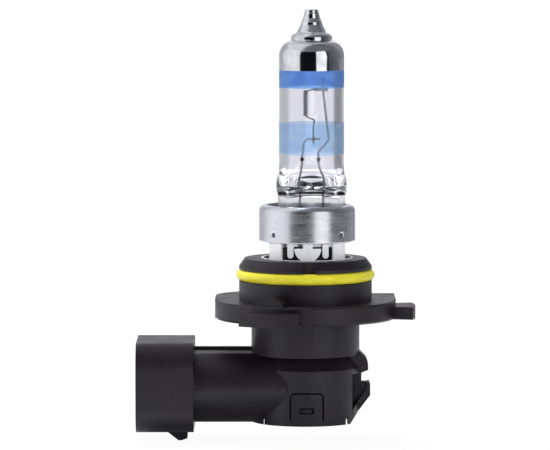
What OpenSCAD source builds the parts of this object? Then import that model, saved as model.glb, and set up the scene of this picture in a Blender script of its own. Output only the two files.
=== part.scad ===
// Headlight bulb with a bayonet cap: a silver-topped quartz capsule held by a steel ring on legs,
// standing in a moulded base with a seal ring, a side connector and a snap-in bottom cover.
// Origin: the cap's axis at the flange's top face. +Z runs up to the glass tip, the connector is at -X.

/* [Glass capsule] */
// Outer radius of the quartz tube
tube_r = 5.18; // [4.6:0.02:6.3]
// Wall of the quartz tube
tube_wall = 0.98; // [0.7:0.02:1.3]
// Distance of the tube's axis from the cap's axis, which puts the filament on the cap's axis
capsule_x = 0.96; // [0:0.02:1.2]
// Height at which the straight tube begins, above the shoulder
tube_base_z = 21.1; // [20:0.1:23]
// Height at which the straight tube ends and the dome begins
tube_top_z = 39.15; // [38.3:0.05:48]
// Height of the dome and tip above the straight tube
tip_h = 7.45; // [6.5:0.05:9]
// Thickness of the pinched foot across its raised middle
pinch_t = 3.4; // [3:0.1:4]
// Width of the pinched foot
pinch_w = 10.8; // [10:0.1:12.4]
// Height of the pinched foot's lower end
pinch_base_z = 8.5; // [7.5:0.1:9]

/* [Coatings] */
// Thickness of the coatings
coat_t = 0.08; // [0.06:0.01:0.12]
// Lower edge of the silver top
silver_z = 36.95; // [35.5:0.05:38]
// Lower edge of the upper blue band
upper_band_z = 34.14; // [33:0.02:35]
// Upper edge of the lower blue band
lower_band_top_z = 28.5; // [27:0.05:30]
// Lower edge of the lower blue band
lower_band_z = 23.45; // [22:0.05:25]

/* [Filament and wires] */
// Height of the filament's middle above the flange
light_centre_z = 31.5; // [31:0.05:32.5]
// Length of the filament coil
coil_len = 4.3; // [3.6:0.05:5]
// Outer radius of the filament coil
coil_r = 0.46; // [0.4:0.01:0.6]
// Turns of the filament coil
coil_turns = 11; // [8:1:14]
// Radius of the tungsten wire
tungsten_r = 0.12; // [0.1:0.01:0.15]
// Radius of the support wires
support_r = 0.19; // [0.15:0.01:0.24]
// Radius of the outer leads
lead_r = 0.3; // [0.25:0.01:0.4]
// Distance between the two leads
lead_pitch = 3.7; // [3.2:0.05:4.2]
// Thickness of the sealing foils
foil_t = 0.1; // [0.08:0.01:0.12]
// Width of the sealing foils
foil_w = 2.2; // [1.8:0.05:2.6]

/* [Ring and holder] */
// Outer radius of the ring
ring_r = 7.73; // [7.5:0.01:9.3]
// Thickness of the ring, the legs and the clip
sheet_t = 0.35; // [0.3:0.01:0.45]
// Distance of the ring's axis from the cap's axis
ring_x = 0.26; // [0:0.02:0.4]
// Top of the ring
ring_top_z = 15.3; // [14.8:0.05:16]
// Bottom of the ring
ring_base_z = 9.5; // [9.3:0.05:9.9]
// Radius of the ring's rounded top edge
ring_edge_r = 0.95; // [0.8:0.05:1.1]
// Width of each leg
leg_w = 2.6; // [2.2:0.05:3]
// Diameter of the weld spots
weld_d = 0.8; // [0.6:0.05:1]

/* [Base] */
// Outer radius of the pilot that enters the lamp's hole
pilot_r = 10.68; // [10.55:0.01:12.8]
// Height of the pilot's top face above the flange
pilot_top_z = 6.74; // [6.4:0.02:7.2]
// Section diameter of the seal ring
seal_d = 1.78; // [1.6:0.02:1.9]
// Height of the seal ring's middle
seal_z = 4.05; // [3.8:0.05:4.15]
// How far the seal ring stands out of the pilot
seal_proud = 0.45; // [0.3:0.01:0.6]
// Play of the seal ring's groove in height
groove_play = 0.1; // [0.06:0.01:0.14]
// Radius of the flange
flange_r = 14.55; // [14.2:0.05:16]
// Thickness of the flange
flange_t = 3; // [2.8:0.05:3.6]
// Radius over the bayonet lugs
lug_r = 17.7; // [17.3:0.05:18.2]
// Outer radius of the base's body
body_r = 8.7; // [8.6:0.02:10.4]
// Wall of the body around the ring's holder
body_wall = 1.3; // [1.1:0.05:1.5]
// Bottom of the base
base_z = -19.6; // [-20.5:0.05:-19.2]

/* [Connector] */
// Distance of the connector's mouth from the cap's axis
mouth_x = 27.1; // [26:0.1:32.5]
// Length of the connector head
head_l = 9.2; // [8.6:0.1:10]
// Width of the connector head
head_w = 20; // [19:0.1:24]
// Height of the connector head
head_h = 14.35; // [13.8:0.05:15]
// Corner radius of the connector head
head_corner_r = 3.9; // [3.2:0.1:4.4]
// Height of the connector's axis
connector_z = -13.58; // [-13.9:0.02:-13.4]
// Wall of the connector head
head_wall = 1.25; // [1:0.05:1.5]
// Width of the neck
neck_w = 16.7; // [16:0.1:17]
// Height of the neck
neck_h = 12.05; // [11.7:0.05:12.2]
// Width of each terminal blade
blade_w = 2.8; // [2.4:0.1:3]
// Thickness of the terminals
blade_t = 0.8; // [0.6:0.05:1]
// Distance between the two blades
blade_pitch = 6.4; // [5.8:0.1:7]

/* [Bottom cover] */
// Thickness of the cover's plate
cover_t = 0.9; // [0.8:0.05:1.1]
// Gap between the cover and the base
cover_gap = 0.25; // [0.15:0.01:0.35]
// Width of the snap tongues
tongue_w = 5; // [4.5:0.1:5.6]
// Height of the tongues' tops
tongue_top_z = -14.45; // [-15:0.05:-13.9]

/* [Hidden] */
$fn = 96;
eps = 0.01;
far = 60;

// glass
tip_z = tube_top_z + tip_h;
bore_r = tube_r - tube_wall;
shoulder_z = 18.6;
shoulder_r = tube_r + 0.5;
pinch_top_z = 16.9;
pinch_side_t = 2.6;
pinch_rib_w = 3.6;
cavity_top_z = tube_top_z + 1.35;
cavity_base_z = 17.9;
cavity_dome = 1.25;
round_z = 21.5;
neck_r = 2.21;
collar_r = 3.22;

// wires
long_x = capsule_x + lead_pitch / 2;
short_x = capsule_x - lead_pitch / 2;
wire_root_z = 14.6;
foil_base_z = 10.4;
foil_top_z = 15.6;
lead_top_z = 11.4;
lead_base_z = connector_z + blade_t / 2;
coil_top_z = light_centre_z + coil_len / 2;
coil_base_z = light_centre_z - coil_len / 2;
coil_mid_r = coil_r - tungsten_r;
coil_steps = 12;
hook_z = 25.85;
leg_x = 1.27;
leg_y = -(support_r + tungsten_r + 0.03);
sleeve_x = 2.86;
sleeve_z = 33.82;
wire_bend_z = 18.9;
bead_z = 22.58;
long_bead_x = 2.08;
short_bead_x = -0.57;

// ring and holder
ring_bore_r = ring_r - sheet_t;
holder_r = ring_bore_r - sheet_t;
ring_mouth_r = norm([pinch_w / 2 + capsule_x - ring_x, pinch_t / 2]) + 0.06;
leg_top_z = 12.6;
holder_base_z = -1;
holder_band_z = 6.85;
weld_z = 10.75;
leg_angles = [45, 135, 225, 315];
clip_z = ring_base_z + 0.05;
jaw_top_z = 14.4;
tongue_y = holder_r - 0.43;
paddle_w = 4.3;
paddle_z = 8.7;

// base
seal_out_r = pilot_r + seal_proud;
seal_mid_r = seal_out_r - seal_d / 2;
groove_r = seal_out_r - seal_d + 0.06;
groove_h = seal_d + groove_play;
chamfer_w = 0.9;
rim_z = pilot_top_z - 1.24;
well_z = -7.6;
web_z = -11;
groove_top_z = -8.7;
groove_base_z = -10.8;
chamber_r = body_r - 1.9;
chamber_x0 = -5.6;
chamber_x1 = 4.9;
cover_z = base_z + cover_t;
cover_x0 = -6.6;
cover_play = 0.08;
cover_x1 = 6.45;
tongue_x = 0.17;
tongue_corner_r = 0.6;
tongue_depth = 1;
window_w = 2.3;
window_z = -17.08;
window_h = 1.05;
latch_play = 0.16;
lead_hole_r = lead_r + 0.2;
bracket_w = 4;
web_w = 1.4;
collar_in_r = 4.6;
collar_out_r = 5.2;
collar_top_z = pinch_base_z - 0.15;
back_y = 10.9;
back_corner_r = 8;

// connector
head_x = -mouth_x + head_l;
neck_z = connector_z - 0.17;
neck_flat = neck_h / 2 - 0.6;
latch_drop = 1.77;
socket_depth = 7.8;
nose_depth = 13.6;
nose_wall = 1.9;
blade_tip_x = -mouth_x + 3.2;
strip_y = blade_pitch / 2;
tab_z = -11.6;
weld_gap = 0.06;
weld_wall = 0.3;

// Outer profile of the domed top and tip, in radius and height above the straight tube
dome_profile = [for (a = [0:10:70]) [collar_r - 0.15 + (tube_r - collar_r + 0.15) * cos(a), 2.45 * sin(a)]];
tip_profile = [[collar_r, 3.0], [collar_r - 0.16, 3.45], [neck_r + 0.14, 3.8], [neck_r, 3.95],
    [1.62, 5.3], [1.2, 6.5], [1.02, tip_h - 0.15], [0.8, tip_h]];
glass_top = [for (p = concat(dome_profile, tip_profile)) [p.x, tube_top_z + p.y]];

// Outer profile of the shoulder between the tube and the pinched foot, from the foot up
shoulder = [[pinch_w / 2, pinch_top_z], [shoulder_r - 0.1, 17.5], [shoulder_r, shoulder_z],
    [shoulder_r - 0.15, 19.4], [tube_r + 0.12, 20.3], [tube_r, tube_base_z]];

// Routes of the wires in the plane of the leads, as x and height
long_route = [[long_x, wire_root_z], [long_x, wire_bend_z + 0.15], [2.74, 19.4], [2.59, 19.85], [2.17, 21.35],
    [long_bead_x, bead_z - 0.4], [long_bead_x, bead_z + 0.4], [2.04, 23.5], [2.2, 23.95], [3.6, 25.55],
    [3.76, 25.95], [3.7, 26.4], [3.39, 28.7], [sleeve_x, 33.3], [sleeve_x, 34.3], [sleeve_x - 0.04, 35.8]];
short_route = [[short_x, wire_root_z], [short_x, wire_bend_z + 0.15], [-0.85, 19.4], [-0.6, 21.5],
    [short_bead_x, bead_z - 0.4], [short_bead_x, bead_z + 0.4], [-0.45, 23.65], [-0.32, 24.85], [-0.1, 25.45],
    [0.15, 25.75], [0.53, hook_z], [2.41, hook_z]];
lower_leg = [[leg_x, leg_y, 24.9], [leg_x, leg_y, 27.9], [leg_x + 0.13, leg_y, 28.6], [leg_x + 0.05, leg_y, 28.9],
    [1.05, leg_y, 29.08], [0.7, -0.4, 29.2]];
upper_tail = [[0.6, 0.3, coil_top_z - 0.04], [0.95, 0.12, coil_top_z + 0.06], [1.4, 0, sleeve_z],
    [sleeve_x - support_r - 0.02, 0, sleeve_z]];

function unit(v) = v / norm(v);
function flat_route(points) = [for (p = points) [p.x, 0, p.y]];

function heading(route, i) = unit(route[min(i + 1, len(route) - 1)] - route[max(i - 1, 0)]);
function square_to(u, d) = unit(u - (u * d) * d);

// A round wire of radius r along a route: rings square to the route, turned as little as they can be
module wire(route, r, sides = 10) {
    last = len(route) - 1;
    frames = [for (i = 0, d = heading(route, 0), u = square_to([0.2, 1, 0.1], d); i <= last;
        i = i + 1, d = heading(route, min(i, last)), u = square_to(u, d)) [u, cross(d, u)]];
    points = [for (i = [0:last], k = [0:sides - 1])
        route[i] + r * (frames[i][0] * cos(360 * k / sides) + frames[i][1] * sin(360 * k / sides))];
    walls = [for (i = [0:last - 1], k = [0:sides - 1])
        let (a = i * sides + k, b = i * sides + (k + 1) % sides)
        each [[a, a + sides, b + sides], [a, b + sides, b]]];
    ends = [[for (k = [0:sides - 1]) k], [for (k = [sides - 1:-1:0]) last * sides + k]];
    polyhedron(points, concat(walls, ends), convexity = 6);
}

// A block between two corners
module block(low, high) {
    translate(low) cube(high - low);
}

// A ring about Z between two radii and two heights
module tube(r_in, r_out, z0, z1) {
    translate([0, 0, z0]) difference() {
        cylinder(r = r_out, h = z1 - z0);
        translate([0, 0, -1]) cylinder(r = r_in, h = z1 - z0 + 2);
    }
}

// The space that closes like a bowl from the round tube to the flat foot
module pinch_wedge(t_foot, t_tube, z_foot, z_tube) {
    bend = [for (f = [[0, 0], [0.15, 0.35], [0.45, 0.7], [1, 1]])
        [t_foot + (t_tube - t_foot) * f.y, z_foot + (z_tube - z_foot) * f.x]];
    rotate([90, 0, 90]) linear_extrude(2 * far, center = true)
        polygon(concat([[t_foot, -far]], bend, [[t_tube, far], [-t_tube, far]],
            [for (i = [3:-1:0]) [-bend[i].x, bend[i].y]], [[-t_foot, -far]]));
}

// ---- capsule ----

module glass_body() {
    intersection() {
        rotate_extrude() polygon(concat([[0, pinch_top_z]], shoulder, glass_top, [[0, tip_z]]));
        pinch_wedge(pinch_t / 2, tube_r + 1, pinch_top_z, round_z + 1);
    }
}

module glass_foot() {
    translate([0, 0, pinch_base_z]) linear_extrude(pinch_top_z - pinch_base_z) {
        square([pinch_w, pinch_side_t], center = true);
        square([pinch_rib_w, pinch_t], center = true);
        for (side = [-1, 1]) translate([side * (pinch_w / 2 - 0.55), 0]) square([1.1, pinch_t], center = true);
    }
}

module glass_cavity() {
    intersection() {
        rotate_extrude() polygon(concat(
            [[0, cavity_base_z + cavity_dome], [1.6, cavity_base_z + 1], [2.8, cavity_base_z + 0.5],
                [3.5, cavity_base_z], [3.9, cavity_base_z + 0.3], [bore_r, cavity_base_z + 1.6]],
            [for (a = [0:15:75]) [1.4 + (bore_r - 1.4) * cos(a), tube_top_z - 0.4 + 1.7 * sin(a)]],
            [[0, cavity_top_z]]));
        pinch_wedge(pinch_t / 2 - 0.8, bore_r + 0.6, cavity_base_z, round_z + 1.2);
    }
}

module quartz_envelope() {
    color([0.86, 0.88, 0.92, 0.4]) difference() {
        translate([capsule_x, 0, 0]) {
            difference() {
                union() {
                    glass_body();
                    glass_foot();
                }
                glass_cavity();
            }
        }
        for (x = [long_x, short_x]) {
            translate([x, 0, wire_root_z]) cylinder(r = support_r, h = wire_bend_z + 0.15 - wire_root_z);
            translate([x, 0, pinch_base_z - 1]) cylinder(r = lead_r, h = lead_top_z - pinch_base_z + 1);
        }
        sealing_foils();
    }
}

module coating(z0, z1) {
    translate([capsule_x, 0, 0]) tube(tube_r, tube_r + coat_t, z0, z1);
}

module silver_top_coating() {
    color([0.75, 0.76, 0.8]) translate([capsule_x, 0, 0]) rotate_extrude() polygon(concat(
        [[tube_r, silver_z], [tube_r + coat_t, silver_z]],
        [for (p = glass_top) [p.x + coat_t, p.y + (p.y > tip_z - eps ? coat_t : 0)]],
        [[0, tip_z + coat_t], [0, tip_z]],
        [for (i = [len(glass_top) - 1:-1:0]) glass_top[i]]));
}

module upper_blue_band() {
    color([0.3, 0.52, 0.8]) coating(upper_band_z, silver_z);
}

module lower_blue_band() {
    color([0.6, 0.78, 0.94]) coating(lower_band_z, lower_band_top_z);
}

// The filament is one tungsten wire: a pointed lower leg, the coil, and a tail held in the sleeve
module filament() {
    turns = coil_turns * coil_steps;
    rise = coil_len - 2 * tungsten_r;
    coil = [for (i = [0:turns - 2]) let (a = 360 * i / coil_steps - 90)
        [coil_mid_r * cos(a), coil_mid_r * sin(a), coil_base_z + tungsten_r + rise * i / turns]];
    color([0.45, 0.45, 0.48]) wire(concat(lower_leg, coil, upper_tail), tungsten_r, 6);
}

// Flattened sleeve that presses the filament's tail onto the long support wire
module upper_clamp_sleeve() {
    color([0.6, 0.6, 0.63]) difference() {
        block([sleeve_x - 1.5, -0.32, sleeve_z - 0.25], [sleeve_x + 0.7, 0.32, sleeve_z + 0.25]);
        translate([sleeve_x - 2, 0, sleeve_z]) rotate([0, 90, 0]) cylinder(r = tungsten_r, h = 2);
        translate([sleeve_x, 0, sleeve_z - 1]) cylinder(r = support_r, h = 2);
    }
}

module long_support_wire() {
    color([0.62, 0.62, 0.65]) wire(flat_route(long_route), support_r);
}

module short_support_wire() {
    color([0.62, 0.62, 0.65]) wire(flat_route(short_route), support_r);
}

// A bead of weld on each support wire, and one where the filament's leg crosses the hook
module wire_weld_beads() {
    bead_r = 0.3;
    profile = [[support_r, -bead_r], [0.23, -bead_r], [bead_r, -0.12], [bead_r, 0.12], [0.23, bead_r],
        [support_r, bead_r]];
    color([0.5, 0.5, 0.53]) {
        for (x = [long_bead_x, short_bead_x]) translate([x, 0, bead_z]) rotate_extrude() polygon(profile);
        difference() {
            translate([leg_x, 0.02, hook_z]) rotate([90, 0, 0]) cylinder(r = bead_r, h = 0.62);
            translate([leg_x, leg_y, hook_z]) cylinder(r = tungsten_r, h = 2, center = true);
            translate([leg_x, 0, hook_z]) rotate([0, 90, 0]) cylinder(r = support_r, h = 2, center = true);
        }
    }
}

module sealing_foils() {
    color([0.7, 0.7, 0.72]) for (x = [long_x, short_x])
        block([x - foil_w / 2, support_r, foil_base_z], [x + foil_w / 2, support_r + foil_t, foil_top_z]);
}

module outer_leads() {
    color([0.68, 0.66, 0.62]) for (x = [long_x, short_x]) difference() {
        translate([x, 0, lead_base_z]) cylinder(r = lead_r, h = lead_top_z - lead_base_z);
        sealing_foils();
    }
}

// ---- ring and holder ----

module at_ring() {
    translate([ring_x, 0, 0]) children();
}

// Stamped clip: a plate inside the ring, two jaws that grip the glass foot, tongues and ears
module capsule_clip() {
    jaw_w = pinch_w - 1.6;
    color([0.8, 0.8, 0.82]) {
        difference() {
            at_ring() translate([0, 0, clip_z]) cylinder(r = holder_r, h = sheet_t);
            block([capsule_x - pinch_w / 2 - 0.3, -pinch_t / 2, clip_z - 1],
                [capsule_x + pinch_w / 2 + 0.3, pinch_t / 2, clip_z + 1]);
            clip_windows();
        }
        for (side = [-1, 1]) {
            translate([capsule_x - jaw_w / 2, side > 0 ? pinch_t / 2 : -pinch_t / 2 - sheet_t, clip_z])
                cube([jaw_w, sheet_t, jaw_top_z - clip_z]);
            at_ring() rotate([0, 0, side > 0 ? 180 : 0]) clip_tongues();
        }
    }
}

module clip_windows() {
    at_ring() intersection() {
        tube(3.2, holder_r - 0.75, clip_z - 1, clip_z + 1);
        for (side = [-1, 1]) block([-3.1, side > 0 ? 2.9 : -far, clip_z - 1], [3.1, side > 0 ? far : -2.9, clip_z + 1]);
    }
}

module clip_tongues() {
    y0 = -tongue_y;
    top = clip_z + sheet_t;
    block([-0.72, y0, paddle_z - 0.1], [0.82, y0 + sheet_t, top]);
    translate([0.05, y0 + sheet_t, paddle_z]) rotate([90, 0, 0]) intersection() {
        linear_extrude(sheet_t) circle(r = paddle_w / 2);
        block([-paddle_w, -1.95, -1], [paddle_w, 0, 1]);
    }
    ear_y = y0 + 0.5;
    for (x = [-3.2, 2.4]) {
        block([x, ear_y, 7.6], [x + 1, ear_y + sheet_t, top]);
        translate([x + 0.5, ear_y + sheet_t, 7.6]) rotate([90, 0, 0]) cylinder(r = 0.5, h = sheet_t);
    }
}

module retaining_ring() {
    step = 15;
    outer = [for (a = [0:step:90]) [ring_r - ring_edge_r + ring_edge_r * cos(a), ring_top_z - ring_edge_r + ring_edge_r * sin(a)]];
    inner_edge = ring_edge_r - sheet_t;
    inner = [for (a = [90:-step:0]) [ring_r - ring_edge_r + inner_edge * cos(a), ring_top_z - ring_edge_r + inner_edge * sin(a)]];
    color([0.72, 0.72, 0.74]) at_ring() difference() {
        rotate_extrude() polygon(concat([[ring_bore_r, ring_base_z], [ring_r, ring_base_z]], outer,
            [[ring_mouth_r, ring_top_z], [ring_mouth_r, ring_top_z - sheet_t]], inner));
        weld_positions() cylinder(d = weld_d, h = far);
    }
}

module weld_positions() {
    for (a = leg_angles) rotate([0, 0, a]) translate([0, 0, weld_z]) rotate([0, 90, 0]) children();
}

module ring_weld_spots() {
    color([0.4, 0.42, 0.46]) at_ring() intersection() {
        weld_positions() translate([0, 0, ring_bore_r - 1]) cylinder(d = weld_d, h = 3);
        tube(ring_bore_r, ring_r - 0.06, weld_z - 1, weld_z + 1);
    }
}

// Stamped holder: a band moulded into the base and four legs that carry the ring
module ring_holder() {
    color([0.78, 0.78, 0.8]) at_ring() {
        tube(holder_r, ring_bore_r, holder_base_z, holder_band_z);
        intersection() {
            tube(holder_r, ring_bore_r, holder_band_z - 1, leg_top_z);
            for (a = leg_angles) rotate([0, 0, a])
                block([0, -leg_w / 2, holder_band_z - 1], [far, leg_w / 2, leg_top_z]);
        }
    }
}

// ---- base ----

module seal_ring() {
    color([0.87, 0.83, 0.25]) rotate_extrude() intersection() {
        translate([seal_mid_r, seal_z]) circle(d = seal_d, $fn = 48);
        translate([groove_r, seal_z - seal_d]) square([seal_d * 2, seal_d * 2]);
    }
}

module sector(r, a0, a1) {
    polygon([[0, 0], for (i = [0:6]) r * [cos(a0 + (a1 - a0) * i / 6), sin(a0 + (a1 - a0) * i / 6)]]);
}

module lug(a0, a1, z0, z1) {
    translate([0, 0, z0]) linear_extrude(z1 - z0) intersection() {
        circle(r = lug_r);
        sector(lug_r * 1.3, a0, a1);
    }
}

// Pilot with the seal's groove, flange, and round body down to the undercut
module base_turned() {
    edge = 0.3;
    rotate_extrude() polygon([[0, groove_top_z], [body_r, groove_top_z], [body_r, -flange_t],
        [flange_r - edge, -flange_t], [flange_r, -flange_t + edge], [flange_r, -edge], [flange_r - edge, 0],
        [pilot_r, 0], [pilot_r, seal_z - groove_h / 2], [groove_r, seal_z - groove_h / 2],
        [groove_r, seal_z + groove_h / 2], [pilot_r, seal_z + groove_h / 2], [pilot_r, rim_z],
        [pilot_r - chamfer_w, pilot_top_z], [0, pilot_top_z]]);
}

module flange_lugs() {
    drop = 0.9;
    lug(-14, 14, -flange_t + 0.1, -drop);
    lug(233, 266, -flange_t, -drop);
    translate([0, 0, -flange_t]) linear_extrude(flange_t) back_outline();
    rotate([0, 0, 245.3]) flange_hump();
}

// Back of the flange: a straight side with a round corner, the third lug's arc, and a square corner
module back_outline() {
    corner = [-flange_r + back_corner_r, sqrt(pow(lug_r - back_corner_r, 2) - pow(flange_r - back_corner_r, 2))];
    turn = atan2(corner.y, corner.x);
    polygon(concat([[-flange_r, 0]],
        [for (i = [0:6]) let (a = 180 + (turn - 180) * i / 6) corner + back_corner_r * [cos(a), sin(a)]],
        [for (i = [1:6]) let (a = turn + (108 - turn) * i / 6) lug_r * [cos(a), sin(a)]],
        [[lug_r * cos(108), back_y], [flange_r, back_y], [flange_r, 0]]));
}

// A low round-topped hump at the flange's front edge
module flange_hump() {
    half = 2.5;
    height = 1.35;
    r = (half * half + 0.88 * 0.88) / 0.88 / 2;
    intersection() {
        translate([11.9, 0, height - r]) rotate([0, 90, 0]) cylinder(r = r, h = 2.3);
        block([11, -half, -0.6], [15, half, 3]);
    }
}

// Lower body: an undercut cone, then the round body with the bracket opposite the connector
module lower_body() {
    difference() {
        union() {
            rotate_extrude() polygon([[0, groove_top_z + eps], [body_r - 1.8, groove_top_z + eps],
                [body_r - 1.8, groove_top_z], [body_r, groove_base_z], [body_r, base_z], [0, base_z]]);
            bracket();
        }
        slant_cut();
        for (side = [-1, 1]) bracket_pocket(side);
    }
}

module bracket() {
    rotate([90, 0, 0]) linear_extrude(bracket_w, center = true)
        polygon([[0, -8.2], [body_r - eps, -8.2], [9.75, -9.3], [10.05, -10.1], [10.1, -11.2], [9.02, -11.65],
            [9.0, -13.2], [10.2, -13.2], [10.4, -13.45], [10.42, -15.3], [6.9, -19.9], [0, -19.9]]);
}

module slant_cut() {
    rotate([90, 0, 0]) linear_extrude(far, center = true)
        polygon([[10.42, -15.3], [6.9, -19.9], [6.9, -far], [far, -far], [far, -15.3]]);
    block([0, -far, -far], [far, far, base_z]);
}

// Pocket behind the bracket's slanting arm, open to one side
module bracket_pocket(side) {
    translate([0, side * (web_w / 2 + far / 2), 0]) rotate([90, 0, 0]) linear_extrude(far, center = true)
        polygon([[7.5, -13.2], [7.5, -17.5], [9.55, -14.6], [9.9, -14], [9.9, -13.2]]);
    translate([0, side * (web_w / 2 + far / 2), 0]) rotate([90, 0, 0]) linear_extrude(far, center = true)
        polygon([[7.5, -11.65], [7.5, -13.25], [far, -13.25], [far, -11.65]]);
}

// Oval neck with a flat top and a low rib along the flat's back edge
module neck_section() {
    translate([0, neck_z - connector_z]) {
        intersection() {
            scale([1, neck_h / neck_w]) circle(d = neck_w);
            translate([-far / 2, neck_flat - far]) square(far);
        }
        translate([2, neck_flat - 0.5]) square([1.2, 0.95]);
    }
}

module rounded_section(w, h, r) {
    hull() for (x = [-1, 1], y = [-1, 1]) translate([x * (w / 2 - r), y * (h / 2 - r)]) circle(r = r, $fn = 32);
}

// Places a section drawn in width and height along -X, from x0 to x1
module along_x(x0, x1) {
    translate([x0, 0, connector_z]) rotate([90, 0, 90]) linear_extrude(x1 - x0) children();
}

module connector() {
    along_x(head_x - 1, -3) neck_section();
    along_x(-mouth_x, head_x) rounded_section(head_w, head_h, head_corner_r);
    latch_z = connector_z - head_h / 2;
    rotate([90, 0, 0]) linear_extrude(5, center = true)
        polygon([[-22.7, latch_z + 0.5], [-22.7, latch_z], [-20.45, latch_z - latch_drop],
            [-19.9, latch_z - latch_drop], [-19, latch_z - latch_drop + 0.3], [-19, latch_z + 0.5]]);
}

module socket() {
    along_x(-mouth_x - 1, -mouth_x + socket_depth)
        rounded_section(head_w - 2 * head_wall, head_h - 2 * head_wall, head_corner_r - head_wall);
    along_x(-mouth_x + socket_depth - 1, -mouth_x + nose_depth)
        rounded_section(neck_w - 2 * nose_wall, neck_h - 2 * nose_wall - 0.4, 2.6);
}

module chamber() {
    intersection() {
        translate([0, 0, base_z - 1]) cylinder(r = chamber_r, h = web_z - base_z + 1);
        block([chamber_x0, -far, base_z - 1], [chamber_x1, far, web_z]);
    }
}

// The tongues' outline with round top corners, drawn through the whole base
module tongue_face(gap) {
    r = tongue_corner_r + gap;
    high = tongue_top_z + gap;
    rotate([90, 0, 0]) linear_extrude(far, center = true) translate([tongue_x, 0]) for (side = [-1, 1]) {
        translate([side * (tongue_w / 2 + gap - r), high - r]) circle(r = r, $fn = 24);
        translate([side > 0 ? 0 : -tongue_w / 2 - gap, base_z - 2])
            square([tongue_w / 2 + gap, high - r - base_z + 2]);
        translate([side > 0 ? 0 : -tongue_w / 2 - gap + r, base_z - 2])
            square([tongue_w / 2 + gap - r, high - base_z + 2]);
    }
}

module tongue_region(gap) {
    intersection() {
        tube(body_r - tongue_depth - gap / 5, far, base_z - 1, tongue_top_z + gap);
        tongue_face(gap);
    }
}

module base_housing() {
    color([0.17, 0.165, 0.18]) difference() {
        union() {
            base_turned();
            flange_lugs();
            lower_body();
            connector();
            at_ring() cylinder(r = holder_r - 0.4, h = collar_top_z);
        }
        at_ring() {
            tube(collar_out_r, holder_r, well_z, far);
            translate([0, 0, well_z]) cylinder(r = collar_in_r, h = far);
            tube(collar_out_r, ring_bore_r, holder_base_z, far);
        }
        for (x = [long_x, short_x]) translate([x, 0, web_z - 1]) cylinder(r = lead_hole_r, h = well_z - web_z + 2);
        chamber();
        socket();
        block([cover_x0 - cover_play, -far, base_z - 1], [cover_x1 + cover_gap, far, cover_z]);
        difference() {
            tongue_region(cover_gap);
            latch_lugs();
        }
        rim_notch();
        front_terminal();
        rear_terminal();
    }
}

module rim_notch() {
    block([-0.5, -far, seal_z + groove_h / 2 - eps], [1.5, -pilot_r + 1.2, far]);
}

module latch_lugs() {
    for (side = [-1, 1]) intersection() {
        tube(body_r - tongue_depth - 1, body_r - 0.62, window_z - 1, window_z + 1);
        block([tongue_x - window_w / 2 + latch_play, side > 0 ? 0 : -far, window_z - window_h / 2],
            [tongue_x + window_w / 2 - latch_play, side > 0 ? far : 0, window_z + window_h / 2 - latch_play * 2]);
    }
}

module bottom_cover() {
    rim = 0.8;
    play = 0.1;
    color([0.15, 0.15, 0.165]) difference() {
        union() {
            intersection() {
                translate([0, 0, base_z]) cylinder(r = body_r - 0.02, h = cover_t);
                block([cover_x0, -far, base_z], [cover_x1, far, cover_z]);
            }
            intersection() {
                tube(chamber_r - play - rim, chamber_r - play, cover_z - eps, cover_z + 1.2);
                block([chamber_x0 + play, -far, cover_z - eps], [chamber_x1 - play, far, cover_z + 1.2]);
            }
            intersection() {
                tube(body_r - tongue_depth, body_r - 0.02, base_z, tongue_top_z);
                tongue_face(0);
            }
        }
        block([tongue_x - window_w / 2, -far, window_z - window_h / 2],
            [tongue_x + window_w / 2, far, window_z + window_h / 2]);
    }
}

// ---- terminals ----

// A flat blade from the socket to the chamber, with an arm and an upright tab at a lead
module terminal(side, lead_x) {
    z0 = connector_z - blade_t / 2;
    z1 = connector_z + blade_t / 2;
    tab_in = lead_r + weld_gap;
    tab_out = tab_in + blade_t;
    end_x = lead_x + 1;
    mirror([0, side < 0 ? 1 : 0, 0]) {
        block([blade_tip_x + 0.8, strip_y - blade_w / 2, z0], [end_x, strip_y + blade_w / 2, z1]);
        block([blade_tip_x, strip_y - blade_w / 2 + 0.5, z0 + 0.2],
            [blade_tip_x + 0.9, strip_y + blade_w / 2 - 0.5, z1 - 0.2]);
        block([lead_x - 1, tab_in, z0], [end_x, strip_y, z1]);
        block([lead_x - 1, tab_in, z0], [end_x, tab_out, tab_z]);
    }
}

module front_terminal() {
    color([0.72, 0.66, 0.5]) terminal(-1, short_x);
}

module rear_terminal() {
    color([0.72, 0.66, 0.5]) terminal(1, long_x);
}

// Weld nuggets that join each lead to its terminal's tab
module lead_welds() {
    color([0.55, 0.53, 0.5]) difference() {
        for (x = [long_x, short_x]) translate([x, 0, lead_base_z + 0.1]) cylinder(r = lead_r + weld_wall, h = 1.2);
        outer_leads();
        front_terminal();
        rear_terminal();
    }
}

quartz_envelope();
silver_top_coating();
upper_blue_band();
lower_blue_band();
filament();
upper_clamp_sleeve();
long_support_wire();
short_support_wire();
wire_weld_beads();
sealing_foils();
outer_leads();
capsule_clip();
retaining_ring();
ring_weld_spots();
ring_holder();
seal_ring();
base_housing();
bottom_cover();
front_terminal();
rear_terminal();
lead_welds();
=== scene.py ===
"""Headlight bulb: silver-topped quartz capsule, steel ring on legs, moulded bayonet base with a seal ring.

All sizes are in millimetres in the part's own frame: +Z up to the glass tip, the origin on the cap's axis at
the flange's top face, the connector at -X and the front at -Y. Meshes are scaled to metres as they are made.
"""
import logging
import math
from dataclasses import dataclass
from enum import Enum

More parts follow.
